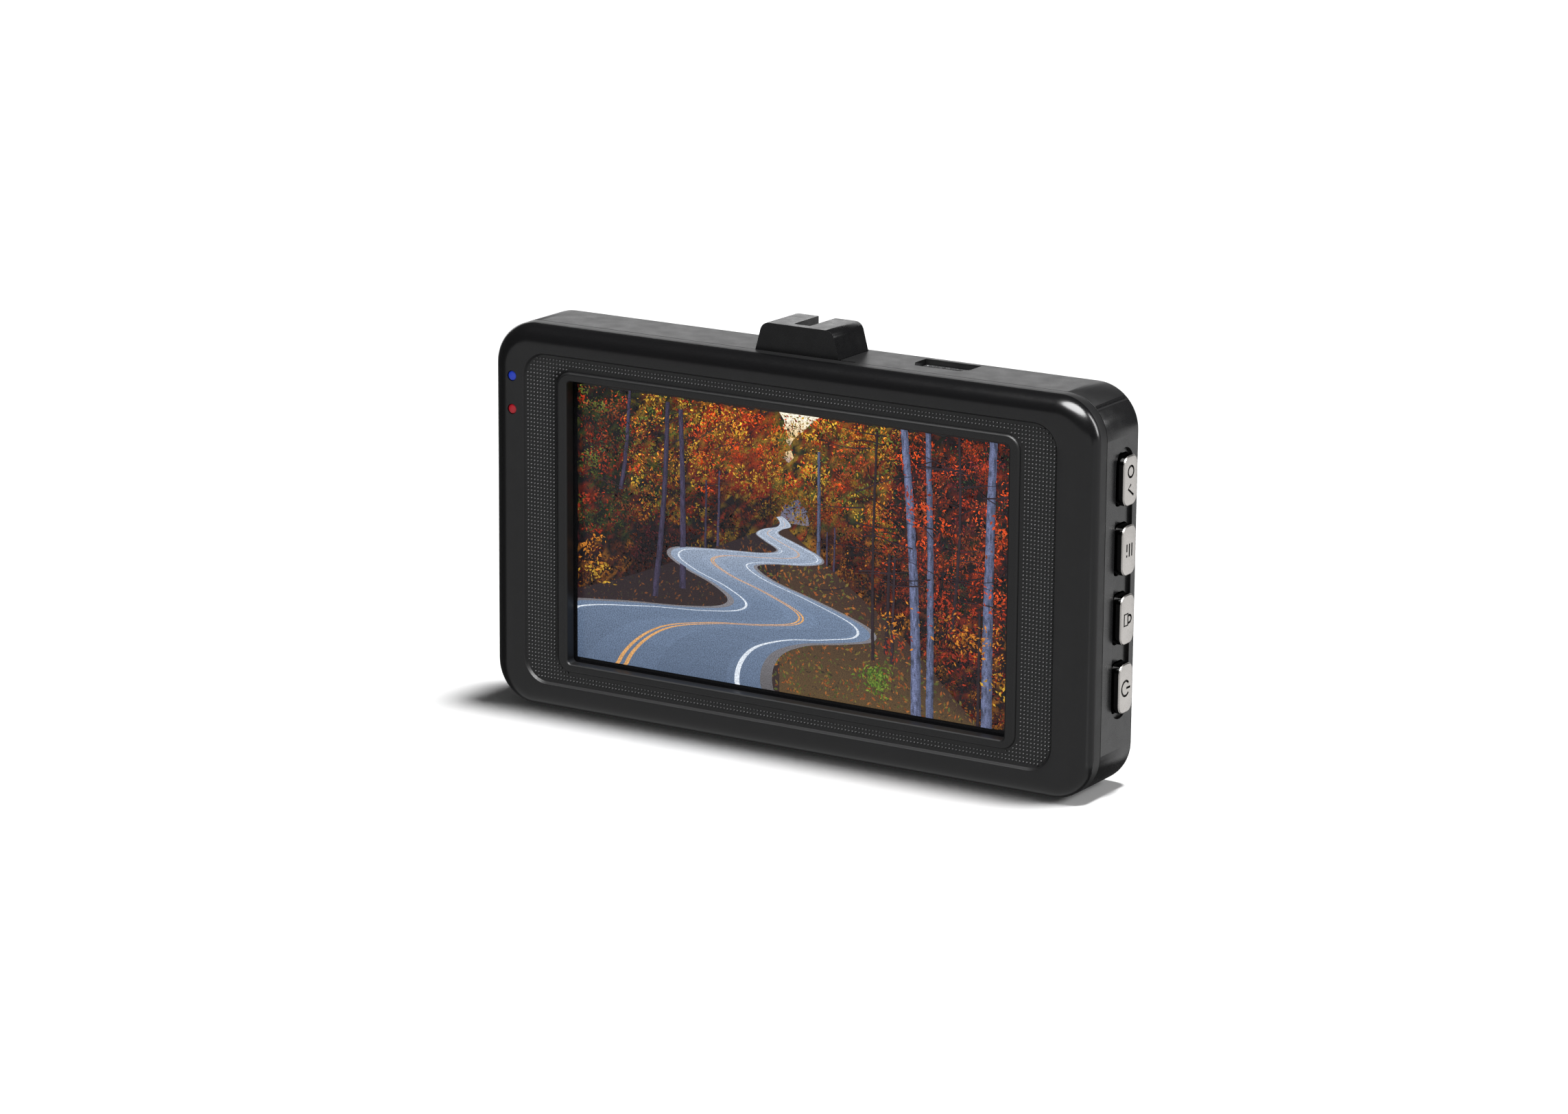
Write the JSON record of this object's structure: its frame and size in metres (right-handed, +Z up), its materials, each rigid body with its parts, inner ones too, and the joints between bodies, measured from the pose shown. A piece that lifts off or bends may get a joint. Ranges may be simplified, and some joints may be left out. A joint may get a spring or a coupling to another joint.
{
  "type": "dash camera",
  "caption": "Slim windscreen video recorder with a rear screen, side key caps, a lens turret and a T-slot mounting block on top.",
  "frame": {"origin": "on the housing's flat underside, at mid-width and on the housing's mid-depth plane", "axes": "+X to the right as seen from the screen side, +Y from the screen towards the lens, +Z up"},
  "size_m": [0.0921, 0.0256, 0.0561],
  "materials": {
    "cover_plastic": "semi-gloss moulded black with a fine dotted band",
    "shell_plastic": "fine spark-eroded matt black",
    "block_plastic": "matt black",
    "foam": "soft closed-cell foam",
    "felt": "thin felt",
    "display_tin": "pressed tinplate",
    "display_glass": "polarised display glass, lit picture",
    "light_guide": "white diffuser stack",
    "flex_film": "amber polyimide",
    "board_green": "solder mask",
    "chip_black": "moulded epoxy",
    "light_diode": "resin over a chip",
    "blue_lens": "tinted clear acrylic, lit",
    "red_lens": "tinted clear acrylic, lit",
    "key_plating": "satin nickel plate on the face, dark bright plate on the flanks",
    "plunger_plastic": "natural nylon",
    "socket_steel": "tin-plated steel",
    "contact_gold": "gold flash",
    "card_plastic": "moulded black",
    "battery_foil": "laminated pouch foil",
    "red_lead": "wire insulation",
    "black_lead": "wire insulation",
    "speaker_steel": "black oxide basket",
    "lens_plastic": "matt black",
    "trim_metal": "turned and anodised ring",
    "cover_glass": "clear",
    "barrel_metal": "black anodised",
    "coated_glass": "coated lens glass",
    "sensor_ceramic": "ceramic package with a glass lid",
    "black_screw": "black zinc",
    "plain_screw": "zinc plated"
  },
  "bodies": {
    "housing": {"rear_bezel": "cover_plastic", "front_shell": "shell_plastic", "mount_socket": "block_plastic", "screen_gasket": "foam", "lcd_frame": "display_tin", "lcd_panel": "display_glass", "lcd_backlight": "light_guide", "lcd_flex": "flex_film", "main_board": "board_green", "processor": "chip_black", "memory_chip": "chip_black", "board_components": "chip_black", "status_leds": "light_diode", "blue_light_pipe": "blue_lens", "red_light_pipe": "red_lens", "switch_bodies": "chip_black", "usb_socket": "socket_steel", "usb_tongue": "chip_black", "usb_contacts": "contact_gold", "card_socket": "socket_steel", "battery": "battery_foil", "battery_tape": "foam", "battery_leads": "red_lead", "clock_cell": "socket_steel", "speaker": "speaker_steel", "speaker_felt": "felt", "speaker_leads": "black_lead", "microphone": "socket_steel", "lens_housing": "lens_plastic", "lens_trim_ring": "trim_metal", "lens_cover_glass": "cover_glass", "lens_barrel": "barrel_metal", "front_lens_element": "coated_glass", "rear_lens_element": "coated_glass", "lens_holder": "lens_plastic", "image_sensor": "sensor_ceramic", "case_screws": "black_screw", "board_screws": "plain_screw"},
    "ok_key": {"ok_button": "key_plating", "ok_switch_plunger": "plunger_plastic"},
    "mode_key": {"mode_button": "key_plating", "mode_switch_plunger": "plunger_plastic"},
    "lock_key": {"lock_button": "key_plating", "lock_switch_plunger": "plunger_plastic"},
    "power_key": {"power_button": "key_plating", "power_switch_plunger": "plunger_plastic"},
    "card": {"memory_card": "card_plastic"}
  },
  "joints": [
    {"name": "ok_press", "type": "slide", "parent": "housing", "child": "ok_key", "axis": [-1, 0, 0], "range_m": [0, 0.0004], "stiffness_N_per_m": 4000},
    {"name": "mode_press", "type": "slide", "parent": "housing", "child": "mode_key", "axis": [-1, 0, 0], "range_m": [0, 0.0004], "stiffness_N_per_m": 4000},
    {"name": "lock_press", "type": "slide", "parent": "housing", "child": "lock_key", "axis": [-1, 0, 0], "range_m": [0, 0.0004], "stiffness_N_per_m": 4000},
    {"name": "power_press", "type": "slide", "parent": "housing", "child": "power_key", "axis": [-1, 0, 0], "range_m": [0, 0.0004], "stiffness_N_per_m": 4000},
    {"name": "card_slide", "type": "slide", "parent": "housing", "child": "card", "axis": [-1, 0, 0], "range_m": [0, 0.0145]}
  ]
}
